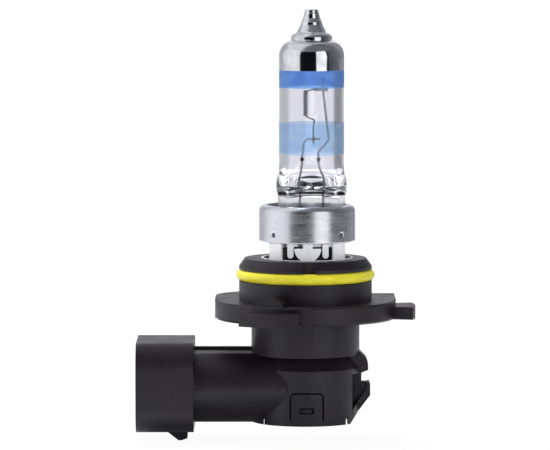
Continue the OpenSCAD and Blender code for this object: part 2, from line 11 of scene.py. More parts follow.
import bmesh
import bpy
import numpy as np
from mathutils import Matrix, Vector


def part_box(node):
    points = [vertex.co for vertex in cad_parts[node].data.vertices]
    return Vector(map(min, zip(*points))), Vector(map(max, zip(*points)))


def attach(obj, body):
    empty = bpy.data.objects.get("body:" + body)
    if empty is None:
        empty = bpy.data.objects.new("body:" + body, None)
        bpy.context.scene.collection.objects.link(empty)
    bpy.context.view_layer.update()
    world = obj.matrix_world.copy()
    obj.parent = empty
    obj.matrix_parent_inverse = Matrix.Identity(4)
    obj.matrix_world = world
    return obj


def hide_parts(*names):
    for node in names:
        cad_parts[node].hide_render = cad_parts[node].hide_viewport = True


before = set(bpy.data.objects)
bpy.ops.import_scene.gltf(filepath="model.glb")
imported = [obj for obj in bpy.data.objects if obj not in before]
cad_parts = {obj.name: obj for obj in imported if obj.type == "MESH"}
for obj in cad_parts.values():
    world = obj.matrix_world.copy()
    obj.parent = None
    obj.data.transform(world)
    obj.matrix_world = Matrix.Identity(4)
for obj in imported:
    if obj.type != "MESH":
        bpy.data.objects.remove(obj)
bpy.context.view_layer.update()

MM = 0.001
BODY = "root"
LOG = logging.getLogger("bulb")
Piece = bpy.types.Object
Points = np.ndarray


# ---------------------------------------------------------------- shapes


def corner_mm(node: str) -> tuple[np.ndarray, np.ndarray]:
    """Gives a CAD node's lowest and highest corners.

    Args:
        node: Name of the node.

    Returns:
        The two corners in millimetres.
    """
    low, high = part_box(node)
    return np.array(low) / MM, np.array(high) / MM


def lattice(rows: int, columns: int, wrap: bool) -> np.ndarray:
    """Lists the quads of a grid: each joins a point to its right, upper right and upper neighbours.

    Args:
        rows: Number of rows of points.
        columns: Number of points in a row.
        wrap: Whether the last column meets the first.

    Returns:
        An array of corner numbers, four to a face.
    """
    spans = columns if wrap else columns - 1
    i, k = np.meshgrid(np.arange(rows - 1), np.arange(spans), indexing="ij")
    right = (k + 1) % columns
    return np.stack([i * columns + k, i * columns + right, (i + 1) * columns + right, (i + 1) * columns + k],
                    axis=-1).reshape(-1, 4)


def skin(name: str, grid: Points, ring: bool = False) -> Piece:
    """Makes a closed smooth surface from rows of points that each run round the shape.

    Args:
        name: Name of the piece.
        grid: Rows by columns by three, in millimetres, each row counter-clockwise seen from above.
        ring: Whether the last row joins the first, as on a torus. Otherwise both ends close on a point.

    Returns:
        The piece, at the origin.
    """
    rows, columns = grid.shape[:2]
    points = grid.reshape(-1, 3)
    if ring:
        faces = (lattice(rows + 1, columns, True) % (rows * columns)).tolist()
    else:
        quads = lattice(rows, columns, True)
        around = np.arange(columns)
        after = (around + 1) % columns
        foot, crown = rows * columns, rows * columns + 1
        last = (rows - 1) * columns
        low = np.stack([after, around, np.full(columns, foot)], axis=-1)
        high = np.stack([last + around, last + after, np.full(columns, crown)], axis=-1)
        points = np.vstack([points, grid[0].mean(axis=0), grid[-1].mean(axis=0)])
        faces = quads.tolist() + low.tolist() + high.tolist()
    mesh = bpy.data.meshes.new(name)
    mesh.from_pydata((points * MM).tolist(), [], faces)
    mesh.update()
    piece = bpy.data.objects.new(name, mesh)
    bpy.context.scene.collection.objects.link(piece)
    smooth(piece)
    return piece


def smooth(piece: Piece) -> None:
    """Shades every face of a piece smooth."""
    piece.data.polygons.foreach_set("use_smooth", np.ones(len(piece.data.polygons), bool))
    piece.data.update()


def sharpen(piece: Piece, degrees: float) -> None:
    """Marks edges sharper than an angle, so that smooth shading stops at them."""
    piece.data.set_sharp_from_angle(angle=math.radians(degrees))


def turned(name: str, profile: Points, axis_x: float = 0.0, steps: int = 128, ring: bool = False,
           push: Points | None = None) -> Piece:
    """Turns a profile about a vertical axis: x = axis + r cos t, y = r sin t.

    Args:
        name: Name of the piece.
        profile: Rows of radius and height, from the bottom up along the outside.
        axis_x: Place of the axis.
        steps: Points round a full turn.
        ring: Whether the profile is a closed loop.
        push: Rows by steps, added to the radius.

    Returns:
        The piece.
    """
    t = np.linspace(0, 2 * np.pi, steps, endpoint=False)
    r = profile[:, :1] + (0 if push is None else push)
    z = np.broadcast_to(profile[:, 1:], (len(profile), steps))
    grid = np.stack([axis_x + r * np.cos(t), r * np.sin(t), z], axis=-1)
    return skin(name, grid, ring)


def eased(route: Points, per_span: int = 6) -> Points:
    """Rounds a route of points: a Catmull-Rom cubic through them, per_span points to a span.

    Args:
        route: Points along the wire, in millimetres.
        per_span: Points given to each span.

    Returns:
        The smoother route.
    """
    ends = np.vstack([2 * route[0] - route[1], route, 2 * route[-1] - route[-2]])
    t = np.linspace(0, 1, per_span, endpoint=False)[None, :, None]
    a, b, c, d = (ends[k:len(ends) - 3 + k, None, :] for k in range(4))
    spans = 0.5 * (2 * b + (c - a) * t + (2 * a - 5 * b + 4 * c - d) * t ** 2
                   + (3 * b - a - 3 * c + d) * t ** 3)
    return np.vstack([spans.reshape(-1, 3), route[-1]])


def swept(name: str, route: Points, radius: Points | float, sides: int = 14) -> Piece:
    """Carries a circle along a route, turning it as little as the bends allow.

    Args:
        name: Name of the piece.
        route: Points along the middle, in millimetres.
        radius: Radius of the wire, or one for each point.
        sides: Points round the wire.

    Returns:
        The piece.
    """
    heading = np.gradient(route, axis=0)
    heading /= np.linalg.norm(heading, axis=1, keepdims=True)
    side = np.cross(heading[0], [0.3, 1.0, 0.2])
    across = []
    for along in heading:
        side = side - (side @ along) * along
        side /= np.linalg.norm(side)
        across.append(side)
    u = np.array(across)[:, None, :]
    v = np.cross(heading, u[:, 0])[:, None, :]
    t = np.linspace(0, 2 * np.pi, sides, endpoint=False)[None, :, None]
    r = np.broadcast_to(np.asarray(radius, float), len(route))[:, None, None]
    return skin(name, route[:, None, :] + r * (u * np.cos(t) + v * np.sin(t)))


def softened(node: str, name: str, edge: float, steps: int = 2, limit: float = 32.0) -> Piece:
    """Copies a CAD node, joins its loose triangles into clean faces, and rounds its edges.

    Args:
        node: The CAD node that the piece stands for.
        name: Name of the piece.
        edge: Width of the rounding, in millimetres.
        steps: Faces across the rounding.
        limit: Smallest angle between faces that is rounded, in degrees.

    Returns:
        The piece, with its modifiers.
    """
    shape = bmesh.new()
    shape.from_mesh(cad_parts[node].data)
    bmesh.ops.remove_doubles(shape, verts=shape.verts, dist=0.002 * MM)
    bmesh.ops.dissolve_limit(shape, angle_limit=math.radians(0.6), verts=shape.verts, edges=shape.edges)
    mesh = bpy.data.meshes.new(name)
    shape.to_mesh(mesh)
    shape.free()
    for stale in ("custom_normal", "sharp_edge", "sharp_face"):
        if stale in mesh.attributes:
            mesh.attributes.remove(mesh.attributes[stale])
    piece = bpy.data.objects.new(name, mesh)
    bpy.context.scene.collection.objects.link(piece)
    smooth(piece)
    bevel = piece.modifiers.new("rounded_edges", "BEVEL")
    bevel.width = edge * MM
    bevel.segments = steps
    bevel.limit_method = "ANGLE"
    bevel.angle_limit = math.radians(limit)
    bevel.miter_outer = "MITER_ARC"
    bevel.use_clamp_overlap = True
    normals = piece.modifiers.new("flat_faces", "WEIGHTED_NORMAL")
    normals.keep_sharp = False
    normals.weight = 80
    return piece


def smoothstep(x: Points, low: float, high: float) -> Points:
    """Rises from 0 at low to 1 at high as 3t^2 - 2t^3."""
    t = np.clip((x - low) / (high - low), 0, 1)
    return t * t * (3 - 2 * t)


# ---------------------------------------------------------------- materials


def linear(code: str) -> tuple[float, float, float, float]:
    """Turns an sRGB hex code into linear red, green, blue and alpha.

    Args:
        code: Six hex digits, such as "2b2a2e".

    Returns:
        The linear colour, with alpha 1.
    """
    values = np.array([int(code[k:k + 2], 16) for k in (0, 2, 4)]) / 255
    curve = np.where(values <= 0.04045, values / 12.92, ((values + 0.055) / 1.055) ** 2.4)
    return (*curve.tolist(), 1.0)


def add_node(tree: bpy.types.NodeTree, kind: str, links: dict | None = None, values: dict | None = None,
             **settings) -> bpy.types.Node:
    """Adds one node with its settings, its sockets' values and what feeds them.

    Args:
        tree: The node tree.
        kind: The node's type.
        links: Input socket to the output that feeds it.
        values: Input socket to its own value.
        **settings: Properties of the node.

    Returns:
        The new node.
    """
    node = tree.nodes.new(kind)
    for key, value in settings.items():
        setattr(node, key, value)
    for key, value in (values or {}).items():
        node.inputs[key].default_value = value
    for key, source in (links or {}).items():
        tree.links.new(source, node.inputs[key])
    return node


def ramp(tree: bpy.types.NodeTree, source: bpy.types.NodeSocket,
         stops: list[tuple[float, str]]) -> bpy.types.Node:
    """Adds a colour ramp.

    Args:
        tree: The node tree.
        source: What drives it.
        stops: Places from 0 to 1 and their sRGB hex colours.

    Returns:
        The ramp.
    """
    node = add_node(tree, "ShaderNodeValToRGB", {"Fac": source})
    points = node.color_ramp.elements
    points[0].position, points[1].position = stops[0][0], stops[-1][0]
    points[0].color, points[1].color = linear(stops[0][1]), linear(stops[-1][1])
    for place, code in stops[1:-1]:
        points.new(place).color = linear(code)
    return node


@dataclass(frozen=True)
class Finish:
    """What every finish holds: a name, a base colour, and how its surface takes light."""

    name: str
    colour: str
    roughness: float
    metallic: float = 0.0
    ior: float = 1.5

    def start(self) -> tuple[bpy.types.Material, bpy.types.NodeTree, bpy.types.Node, bpy.types.NodeSocket]:
        """Makes the material with its shader and the coordinates that its pattern reads.

        Returns:
            The material, its tree, its shader, and Object coordinates in metres.
        """
        material = bpy.data.materials.new(self.name)
        material.use_nodes = True
        tree = material.node_tree
        tree.nodes.clear()
        shader = add_node(tree, "ShaderNodeBsdfPrincipled", values={
            "Base Color": linear(self.colour), "Roughness": self.roughness, "Metallic": self.metallic,
            "IOR": self.ior})
        add_node(tree, "ShaderNodeOutputMaterial", {"Surface": shader.outputs[0]})
        place = add_node(tree, "ShaderNodeTexCoord").outputs["Object"]
        return material, tree, shader, place

    def grain(self, tree: bpy.types.NodeTree, place: bpy.types.NodeSocket,
              size_mm: tuple[float, float, float], detail: float = 3.0) -> bpy.types.NodeSocket:
        """Gives noise whose spots measure size_mm along X, Y and Z.

        Args:
            tree: The node tree.
            place: The coordinates it reads, in metres.
            size_mm: Size of a spot along each axis.
            detail: Finer layers on top of the first.

        Returns:
            The noise, from 0 to 1.
        """
        scale = tuple(1 / (size * MM) for size in size_mm)
        mapping = add_node(tree, "ShaderNodeMapping", {"Vector": place}, {"Scale": scale})
        noise = add_node(tree, "ShaderNodeTexNoise", {"Vector": mapping.outputs[0]},
                         {"Scale": 1.0, "Detail": detail, "Roughness": 0.55})
        return noise.outputs["Fac"]

    def relief(self, tree: bpy.types.NodeTree, shader: bpy.types.Node, height: bpy.types.NodeSocket,
               depth_mm: float, strength: float = 1.0) -> None:
        """Raises the surface by height times depth_mm, in the shading only."""
        bump = add_node(tree, "ShaderNodeBump", {"Height": height},
                        {"Strength": strength, "Distance": depth_mm * MM})
        tree.links.new(bump.outputs[0], shader.inputs["Normal"])

    def vary(self, tree: bpy.types.NodeTree, source: bpy.types.NodeSocket, low: float,
             high: float) -> bpy.types.NodeSocket:
        """Maps noise between 0.3 and 0.7 to the range low to high."""
        node = add_node(tree, "ShaderNodeMapRange", {"Value": source},
                        {"From Min": 0.3, "From Max": 0.7, "To Min": low, "To Max": high})
        return node.outputs[0]


@dataclass(frozen=True)
class MouldedPlastic(Finish):
    """Glass-filled polyamide, moulded in a fine spark-eroded tool: a soft satin sheen with fine grain."""

    flow: str = "1b171c"
    speck: str = "39333c"
    grain_mm: float = 0.2
    relief_mm: float = 0.03
    shine: float = 0.38

    def build(self) -> bpy.types.Material:
        """Makes the material: cloudy flow colour, pale specks, grain as relief, and uneven gloss."""
        material, tree, shader, place = self.start()
        shader.inputs["Specular IOR Level"].default_value = self.shine
        clouds = self.grain(tree, place, (6, 6, 6), 4)
        colours = ramp(tree, clouds, [(0.35, self.colour), (0.68, self.flow)])
        fine = self.grain(tree, place, (self.grain_mm,) * 3, 2)
        specks = self.vary(tree, fine, -0.9, 0.55)
        mixed = add_node(tree, "ShaderNodeMixRGB", {"Fac": specks, "Color1": colours.outputs[0]},
                         {"Color2": linear(self.speck)}, use_clamp=True)
        tree.links.new(mixed.outputs[0], shader.inputs["Base Color"])
        gloss = self.vary(tree, clouds, self.roughness - 0.05, self.roughness + 0.07)
        tree.links.new(gloss, shader.inputs["Roughness"])
        self.relief(tree, shader, fine, self.relief_mm)
        return material


@dataclass(frozen=True)
class TurnedSteel(Finish):
    """Stainless steel brushed round its axis: long streaks across a tall narrow shine."""

    streak_mm: float = 0.12
    relief_mm: float = 0.0006
    spread: float = 0.03

    def build(self) -> bpy.types.Material:
        """Makes the material: streaks that run round the ring, in gloss, colour and relief."""
        material, tree, shader, place = self.start()
        streaks = self.grain(tree, place, (5, 5, self.streak_mm), 3)
        patches = self.grain(tree, place, (3, 3, 1.2), 3)
        colours = ramp(tree, streaks, [(0.3, self.colour), (0.7, "e6e8ec")])
        tree.links.new(colours.outputs[0], shader.inputs["Base Color"])
        gloss = self.vary(tree, patches, self.roughness - self.spread / 2, self.roughness + self.spread)
        tree.links.new(gloss, shader.inputs["Roughness"])
        self.relief(tree, shader, streaks, self.relief_mm)
        return material


@dataclass(frozen=True)
class PlainMetal(Finish):
    """Drawn, stamped or coated metal with faint dulling and small dents."""

    spot_mm: float = 0.5
    relief_mm: float = 0.003
    shade: str = "8a8c92"

    def build(self) -> bpy.types.Material:
        """Makes the material: clouded colour and gloss, with slight relief."""
        material, tree, shader, place = self.start()
        spots = self.grain(tree, place, (self.spot_mm,) * 3, 4)
        colours = ramp(tree, spots, [(0.3, self.shade), (0.62, self.colour)])
        tree.links.new(colours.outputs[0], shader.inputs["Base Color"])
        gloss = self.vary(tree, spots, self.roughness, self.roughness * 1.5)
        tree.links.new(gloss, shader.inputs["Roughness"])
        self.relief(tree, shader, spots, self.relief_mm)
        return material


@dataclass(frozen=True)
class ClearGlass(Finish):
    """Fused quartz, drawn and fire-polished: clear, with very slight waves from the drawing."""

    # rim and rim_end are painted shade: base colours that grey the glass where it turns edge-on to the view
    rim: str = "d2d3d8"
    rim_end: str = "b0b1b8"
    wave_mm: float = 3.0
    relief_mm: float = 0.006
    foot_mm: float = 16.9
    foot_dull: float = 0.3
    press_mm: float = 0.5

    def build(self) -> bpy.types.Material:
        """Makes the material: clear and wavy, with painted shade in the base colour where it slants away from
        the view, and rippled on the foot.
        """
        material, tree, shader, place = self.start()
        shader.inputs["Transmission Weight"].default_value = 1.0
        # Painted shade: the base colour goes from clear to grey as the surface turns edge-on to the view
        slant = add_node(tree, "ShaderNodeLayerWeight", values={"Blend": 0.5}).outputs["Facing"]
        painted_edge_shade = ramp(tree, slant, [(0.38, self.colour), (0.6, self.rim), (1.0, self.rim_end)])
        tree.links.new(painted_edge_shade.outputs[0], shader.inputs["Base Color"])
        waves = self.grain(tree, place, (self.wave_mm, self.wave_mm, self.wave_mm * 2), 1)
        ripples = self.grain(tree, place, (self.press_mm,) * 3, 2)
        height = add_node(tree, "ShaderNodeSeparateXYZ", {"Vector": place}).outputs["Z"]
        pressed = add_node(tree, "ShaderNodeMapRange", {"Value": height},
                           {"From Min": self.foot_mm * MM, "From Max": (self.foot_mm - 0.4) * MM,
                            "To Max": 1.0})
        rough = add_node(tree, "ShaderNodeMath", {0: pressed.outputs[0]}, {1: self.foot_dull},
                         operation="MULTIPLY")
        tree.links.new(rough.outputs[0], shader.inputs["Roughness"])
        both = add_node(tree, "ShaderNodeMix", {0: pressed.outputs[0], 2: waves, 3: ripples})
        self.relief(tree, shader, both.outputs[0], self.relief_mm)
        return material


@dataclass(frozen=True)
class BlueFilm(Finish):
    """Interference coating on the glass: a clear film that tints what is behind it and shines a little."""

    clear: float = 0.8
    deep: str = "4f86cc"

    def build(self) -> bpy.types.Material:
        """Makes the material: a tinted film whose depth of colour drifts a little."""
        material, tree, shader, place = self.start()
        shader.inputs["Transmission Weight"].default_value = self.clear
        drift = self.grain(tree, place, (2.5, 2.5, 1.2), 2)
        colours = ramp(tree, drift, [(0.3, self.deep), (0.7, self.colour)])
        tree.links.new(colours.outputs[0], shader.inputs["Base Color"])
        return material


@dataclass(frozen=True)
class SealRubber(Finish):
    """Moulded silicone rubber: slightly waxy, with a soft wide shine and faint dust."""

    def build(self) -> bpy.types.Material:
        """Makes the material: soft light under the surface and faint clouds."""
        material, tree, shader, place = self.start()
        shader.inputs["Subsurface Weight"].default_value = 0.12
        shader.inputs["Subsurface Radius"].default_value = (0.6 * MM, 0.5 * MM, 0.1 * MM)
        clouds = self.grain(tree, place, (2, 2, 0.8), 4)
        colours = ramp(tree, clouds, [(0.3, "dcd334"), (0.7, self.colour)])
        tree.links.new(colours.outputs[0], shader.inputs["Base Color"])
        gloss = self.vary(tree, clouds, self.roughness - 0.06, self.roughness + 0.1)
        tree.links.new(gloss, shader.inputs["Roughness"])
        fine = self.grain(tree, place, (0.3, 0.3, 0.3), 2)
        self.relief(tree, shader, fine, 0.006)
        return material


class Finishes:
    """The finishes of the bulb, each built once."""

    def __init__(self) -> None:
        """Builds every material."""
        self.quartz = ClearGlass("fused_quartz", "fbfbff", 0.0, ior=1.458).build()
        self.silver = PlainMetal("silver_coating", "eceef1", 0.07, 1.0, spot_mm=2.5, relief_mm=0.012,
                                 shade="c8cacf").build()
        self.blue = BlueFilm("blue_film", "a8cffc", 0.03, ior=1.12, clear=0.78, deep="88b9f6").build()
        self.pale_blue = BlueFilm("pale_blue_film", "e0f1ff", 0.03, ior=1.08, clear=0.88,
                                  deep="d0e8ff").build()
        self.tungsten = PlainMetal("drawn_tungsten", "8c8d92", 0.32, 1.0, spot_mm=0.3,
                                   shade="55565c").build()
        self.molybdenum = PlainMetal("drawn_molybdenum", "9a9ba0", 0.28, 1.0, spot_mm=0.4,
                                     shade="606268").build()
        self.foil = PlainMetal("molybdenum_foil", "a4a5aa", 0.3, 1.0, spot_mm=0.4, shade="7c7d84").build()
        self.ring = TurnedSteel("brushed_stainless", "d4d6dc", 0.26, 1.0, spread=0.05).build()
        self.stamped = PlainMetal("bright_stamped_steel", "fdfdff", 0.3, 0.12, spot_mm=0.9,
                                  relief_mm=0.001, shade="eff0f3").build()
        self.weld = PlainMetal("spot_weld", "54565c", 0.45, 1.0, spot_mm=0.2, relief_mm=0.02,
                               shade="26282e").build()
        self.spot = PlainMetal("pressed_spot", "7e8086", 0.4, 1.0, spot_mm=0.2, relief_mm=0.02,
                               shade="3e4046").build()
        self.rubber = SealRubber("yellow_silicone", "ece43c", 0.36, ior=1.41).build()
        self.base = MouldedPlastic("black_polyamide", "120f13", 0.4, ior=1.53).build()
        self.cover = MouldedPlastic("black_cover_polyamide", "0c0b0d", 0.38, ior=1.53,
                                    flow="121013").build()
        self.tin = PlainMetal("tinned_brass", "d8d4c8", 0.22, 1.0, spot_mm=0.5, shade="b4ae9c").build()


def dress(piece: Piece, node: str, material: bpy.types.Material) -> Piece:
    """Gives a new piece its finish and its body, and hides the CAD node that it stands for.

    Args:
        piece: The new piece.
        node: The CAD node that it replaces.
        material: Its finish.

    Returns:
        The piece.
    """
    piece.data.materials.clear()
    piece.data.materials.append(material)
    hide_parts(node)
    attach(piece, BODY)
    LOG.info("%s: %d points, stands for %s", piece.name, len(piece.data.vertices), node)
    return piece


# ---------------------------------------------------------------- capsule


@dataclass
class Capsule:
    """The quartz envelope, its coatings, and the wires inside it."""

    finishes: Finishes
    axis_x: float = 0.0
    tube_r: float = 0.0
    tip_z: float = 0.0
    foot_z: float = 0.0
    band: tuple[float, float] = (0.0, 0.0)
    upper: tuple[float, float] = (0.0, 0.0)
    wall: float = 0.98
    shoulder_r: float = 5.68
    foot_w: float = 10.8
    foot_t: float = 3.4
    side_t: float = 2.6
    rib_w: float = 3.6
    lead_pitch: float = 3.7
    support_r: float = 0.185
    film_gap: float = 0.015
    film_t: float = 0.055

    def __post_init__(self) -> None:
        """Takes the capsule's place and size from its CAD nodes."""
        low, high = corner_mm("lower_blue_band")
        self.axis_x = (low[0] + high[0]) / 2
        self.tube_r = (high[1] - low[1]) / 2 - 0.08
        self.band = (low[2], high[2])
        low, high = corner_mm("upper_blue_band")
        self.upper = (low[2], high[2])
        low, high = corner_mm("quartz_envelope")
        self.foot_z, self.tip_z = low[2], high[2]

    def outline(self) -> Points:
        """Gives the dome and tip: a quarter ellipse over the tube, a collar, then a drawn, slightly wavy tip.

        Returns:
            Rows of radius and height from the tube's top up to the flat tip.
        """
        base = self.tip_z - 7.45
        a = np.radians(np.linspace(0, 74, 20))
        dome = np.stack([3.07 + (self.tube_r - 3.07) * np.cos(a), base + 2.5 * np.sin(a)], axis=-1)
        collar_h = np.array([2.62, 2.82, 3.05, 3.25, 3.45, 3.6, 3.74, 3.86])
        collar_r = np.array([3.2, 3.24, 3.24, 3.17, 3.0, 2.78, 2.52, 2.32])
        h = np.linspace(3.98, 7.2, 18)
        tip_r = np.interp(h, [3.98, 4.6, 5.3, 6.0, 6.7, 7.2], [2.21, 1.93, 1.62, 1.38, 1.14, 1.04])
        tip_r = tip_r + 0.035 * np.sin((h - 3.98) * 5.2)
        crown = np.array([[1.02, 7.3], [0.96, 7.38], [0.84, 7.43], [0.5, 7.45]])
        upper = np.vstack([np.stack([collar_r, collar_h], axis=-1), np.stack([tip_r, h], axis=-1), crown])
        upper[:, 1] += base
        return np.vstack([dome, upper])

    def envelope_sections(self) -> Points:
        """Gives the outside from the foot up: rows of half width, half depth, squareness, ribs and height.

        The half depth closes from the tube's radius to the flat foot along a parabola, like a bowl, and the
        squareness is the power of the section's superellipse: 2 is round and 9 is a rounded block.

        Returns:
            The rows.
        """
        foot = np.array([self.foot_z, self.foot_z + 0.12, self.foot_z + 0.3,
                         10, 12, 14, 15.5, 16.2, 16.6, 16.86])
        body = np.concatenate([np.linspace(16.96, 21.4, 40), np.linspace(21.9, self.tip_z - 7.5, 30)])
        z = np.concatenate([foot, body])
        wide = np.interp(z, [foot[0], foot[2], 16.9, 17.4, 18.0, 18.6, 19.4, 20.4, 21.4],
                         [5.25, 5.4, 5.4, 5.55, 5.66, self.shoulder_r, 5.6, 5.3, self.tube_r])
        closing = np.where(z > 16.9, 1 - 0.86 * (1 - np.clip((z - 16.9) / 2.9, 0, 1)) ** 2, 0)
        deep = self.foot_t / 2 + (self.tube_r - self.foot_t / 2) * closing
        deep[:3] *= [0.93, 0.98, 1.0]
        power = 9 - 7 * smoothstep(z, 16.8, 18.4)
        ribs = 1 - smoothstep(z, 16.3, 16.9)
        return np.stack([wide, deep, power, ribs, z], axis=-1)

    def loft(self, rows: Points, steps: int = 160) -> Points:
        """Draws each row as a superellipse: x = a |cos t|^(2/n), y = b |sin t|^(2/n), each with its sign.

        Where a row has ribs, the faces between the raised middle and the raised edges sink by a smooth step.

        Args:
            rows: Half width, half depth, power, ribs and height.
            steps: Points round the section.

        Returns:
            The grid of points.
        """
        t = np.linspace(0, 2 * np.pi, steps, endpoint=False)
        a, b, n, ribs, z = (rows[:, k:k + 1] for k in range(5))
        x = a * np.sign(np.cos(t)) * np.abs(np.cos(t)) ** (2 / n)
        y = b * np.sign(np.sin(t)) * np.abs(np.sin(t)) ** (2 / n)
        panel = smoothstep(np.abs(x), self.rib_w / 2, self.rib_w / 2 + 0.35)
        panel = panel * (1 - smoothstep(np.abs(x), self.foot_w / 2 - 1.3, self.foot_w / 2 - 0.85))
        y = y * (1 - ribs * panel * (1 - self.side_t / self.foot_t))
        return np.stack([self.axis_x + x, y, np.broadcast_to(z, x.shape)], axis=-1)

    def build_glass(self) -> Piece:
        """Makes the envelope: its outside and the cavity inside, one mesh of two closed skins."""
        above = self.outline()[1:]
        round_rows = np.stack([above[:, 0], above[:, 0], np.full(len(above), 2.0), np.zeros(len(above)),
                               above[:, 1]], axis=-1)
        outside = skin("quartz_envelope_body", self.loft(np.vstack([self.envelope_sections(), round_rows])))
        inside = skin("cavity", self.loft(self.cavity_sections())[:, ::-1])
        joined = bmesh.new()
        joined.from_mesh(outside.data)
        joined.from_mesh(inside.data)
        joined.to_mesh(outside.data)
        joined.free()
        bpy.data.objects.remove(inside)
        smooth(outside)
        return dress(outside, "quartz_envelope", self.finishes.quartz)

    def cavity_sections(self) -> Points:
        """Gives the cavity from its domed floor up to its round top, as rows for loft.

        Returns:
            The rows.
        """
        bore = self.tube_r - self.wall
        top = self.tip_z - 7.45
        floor = [[0.5, 0.3, 2.0, 19.15], [1.4, 0.55, 2.2, 18.98], [2.4, 0.74, 2.6, 18.6],
                 [3.1, 0.85, 2.8, 18.15], [3.5, 0.95, 2.8, 17.92], [3.75, 1.3, 2.7, 17.95],
                 [3.95, 2.0, 2.5, 18.3], [4.08, 2.9, 2.3, 18.9], [4.15, 3.6, 2.1, 19.6],
                 [4.19, 4.0, 2.0, 20.4], [bore, 4.15, 2.0, 21.3], [bore, bore, 2.0, 22.2]]
        walls = [[bore, bore, 2.0, z] for z in np.linspace(22.8, top - 0.6, 30)]
        a = np.radians(np.linspace(8, 84, 12))
        dome = np.stack([1.5 + (bore - 1.5) * np.cos(a), 1.5 + (bore - 1.5) * np.cos(a), np.full(12, 2.0),
                         top - 0.6 + 2.0 * np.sin(a)], axis=-1)
        rows = np.vstack([floor, walls, dome])
        return np.insert(rows, 3, 0.0, axis=1)

    def film(self, name: str, profile: Points, node: str, material: bpy.types.Material) -> Piece:
        """Makes a thin closed shell just outside a profile of radius and height.

        Args:
            name: Name of the piece.
            profile: The glass's radius and height along the coated stretch.
            node: The CAD node that it stands for.
            material: Its finish.

        Returns:
            The piece.
        """
        inner = profile + [self.film_gap, 0]
        outer = profile + [self.film_gap + self.film_t, 0]
        shell = turned(name, np.vstack([outer, inner[::-1]]), self.axis_x, 160, ring=True)
        sharpen(shell, 40)
        return dress(shell, node, material)

    def build_coatings(self) -> list[Piece]:
        """Makes the silver top and the two blue bands."""
        above = self.outline()
        start = np.array([[self.tube_r, z] for z in np.linspace(self.upper[1], above[0, 1] - 0.2, 6)])
        outer = np.vstack([start, above]) + [self.film_gap + self.film_t, 0]
        outer[-4:, 1] += 0.05
        inner = np.vstack([start, above])[::-1] + [self.film_gap, 0]
        inner[:4, 1] += 0.01
        close = np.array([[0.04, outer[-1, 1] + 0.005], [0.04, inner[0, 1]]])
        cap = turned("silver_top", np.vstack([outer, close, inner]), self.axis_x, 160, ring=True)
        sharpen(cap, 60)
        pieces = [dress(cap, "silver_top_coating", self.finishes.silver)]
        for node, span, material in (("upper_blue_band", self.upper, self.finishes.blue),
                                     ("lower_blue_band", self.band, self.finishes.pale_blue)):
            wall = np.array([[self.tube_r, z] for z in np.linspace(*span, 7)])
            pieces.append(self.film(node + "_film", wall, node, material))
        return pieces

    def build_filament(self) -> Piece:
        """Makes the filament: a leg, a helix (x = r cos a, y = r sin a, z rising evenly), and a tail."""
        coil_r, wire_r, turns, base, rise = 0.34, 0.115, 11, 29.47, 4.06
        a = np.linspace(-np.pi / 2, 2 * np.pi * (turns - 0.3) - np.pi / 2, turns * 26)
        z = base + rise * np.linspace(0, 1, len(a))
        helix = np.stack([coil_r * np.cos(a), coil_r * np.sin(a), z], axis=-1)
        leg = np.array([[1.27, -0.34, 24.9], [1.27, -0.34, 26.4], [1.27, -0.34, 27.9], [1.4, -0.34, 28.6],
                        [1.32, -0.34, 28.92], [1.02, -0.35, 29.1], [0.62, -0.37, 29.25]])
        tail = np.array([[0.5, 0.1, 33.62], [0.9, 0.1, 33.72], [1.4, 0, 33.82], [2.6, 0, 33.82]])
        route = np.vstack([eased(leg, 5), helix, eased(tail, 5)])
        radius = np.interp(route[:, 2], [24.9, 25.1, 27.6, 28.3], [0.06, 0.165, 0.165, wire_r])
        return dress(swept("filament_wire", route, radius, 10), "filament", self.finishes.tungsten)

    def build_supports(self) -> list[Piece]:
        """Makes the two support wires as smooth sweeps through their bends."""
        long_x, short_x = self.axis_x + self.lead_pitch / 2, self.axis_x - self.lead_pitch / 2
        long_route = [[long_x, 14.6], [long_x, 19.05], [2.74, 19.4], [2.59, 19.85], [2.17, 21.35],
                      [2.08, 22.2], [2.08, 23.0], [2.04, 23.5], [2.2, 23.95], [2.9, 24.75], [3.6, 25.55],
                      [3.76, 25.95], [3.7, 26.4], [3.39, 28.7], [2.86, 33.3], [2.86, 34.3], [2.82, 35.75]]
        short_route = [[short_x, 14.6], [short_x, 19.05], [-0.85, 19.4], [-0.6, 21.5], [-0.57, 22.2],
                       [-0.57, 23.0], [-0.45, 23.65], [-0.32, 24.85], [-0.1, 25.45], [0.15, 25.75],
                       [0.53, 25.85], [2.38, 25.85]]
        pieces = []
        for node, flat in (("long_support_wire", long_route), ("short_support_wire", short_route)):
            route = np.insert(np.array(flat), 1, 0.0, axis=1)
            wire = swept(node + "_drawn", eased(route, 5), self.support_r, 14)
            pieces.append(dress(wire, node, self.finishes.molybdenum))
        return pieces

    def build_small_parts(self) -> list[Piece]:
        """Rounds the sleeve, the beads, the foils and the outer leads."""
        metals = self.finishes
        return [dress(softened(node, node + "_part", edge), node, material) for node, edge, material in (
            ("upper_clamp_sleeve", 0.1, metals.molybdenum), ("wire_weld_beads", 0.05, metals.weld),
            ("sealing_foils", 0.02, metals.foil), ("outer_leads", 0.05, metals.molybdenum))]

    def build(self) -> list[Piece]:
        """Builds the whole capsule."""
        return [self.build_glass(), *self.build_coatings(), self.build_filament(), *self.build_supports(),
                *self.build_small_parts()]


# ---------------------------------------------------------------- ring and holder


